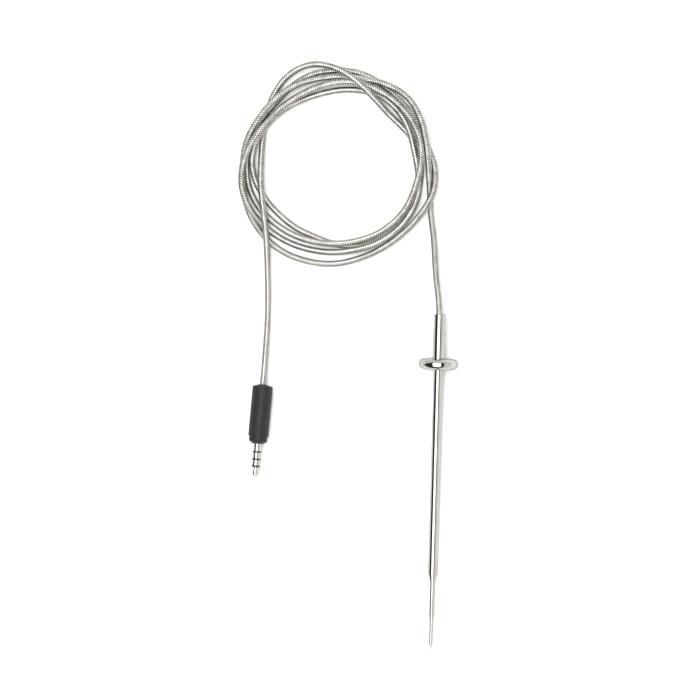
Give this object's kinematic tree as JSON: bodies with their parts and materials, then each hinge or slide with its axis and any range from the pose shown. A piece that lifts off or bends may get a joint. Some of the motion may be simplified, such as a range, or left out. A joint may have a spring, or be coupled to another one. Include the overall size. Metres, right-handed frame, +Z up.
{
  "type": "meat thermometer probe",
  "caption": "Wired meat thermometer: stepped steel needle probe with pull ring and sleeve, coiled braided steel cord and four-pole 3.5 mm plug.",
  "frame": {"origin": "on the table, under the middle of the probe (needle, ring and sleeve, without the cord and plug)", "axes": "+Z up; +Y along the probe from the needle's point towards the cord; +X to the right of the picture, away from the coil"},
  "size_m": [0.0962, 0.2509, 0.017],
  "materials": {
    "polished_steel": "mirror-polished stainless steel",
    "crimp_metal": "plain bright crimped metal",
    "steel_braid": "fine woven stainless wire braid",
    "cord_bundle": "loose coil of braided cord, with the air between its turns",
    "plated_contact": "bright nickel plate",
    "contact_insulator": "hard black plastic",
    "black_moulding": "matte black, finely textured moulding",
    "inner_moulding": "natural white moulding",
    "solder": "bright solder",
    "silicone_seal": "high-temperature silicone",
    "liner_plastic": "natural fluoropolymer tube",
    "wire_insulation": "smooth fluoropolymer insulation",
    "bead_glass": "amber glass bead",
    "ceramic_cement": "dry ceramic cement"
  },
  "bodies": {
    "root": {"cord_clamp": "crimp_metal", "cord_coil": "cord_bundle", "cord_ferrule": "crimp_metal", "cord_plug_lead": "steel_braid", "cord_probe_lead": "steel_braid", "front_insulator": "contact_insulator", "front_ring_contact": "plated_contact", "ground_lug": "plated_contact", "handle_sleeve": "polished_steel", "inner_mould": "inner_moulding", "lead_insulator": "liner_plastic", "middle_insulator": "contact_insulator", "needle_tip": "polished_steel", "plug_barrel": "black_moulding", "plug_collar": "black_moulding", "plug_wires": "wire_insulation", "probe_tube": "polished_steel", "pull_ring": "polished_steel", "rear_insulator": "contact_insulator", "rear_ring_contact": "plated_contact", "rear_seal": "silicone_seal", "shaft_liner": "liner_plastic", "signal_wires": "wire_insulation", "sleeve_contact": "plated_contact", "solder_joints": "solder", "splice_covers": "liner_plastic", "splice_crimps": "crimp_metal", "thermistor_bead": "bead_glass", "thermistor_leads": "crimp_metal", "tip_contact": "plated_contact", "tip_lug": "plated_contact", "tip_potting": "ceramic_cement"}
  },
  "joints": []
}
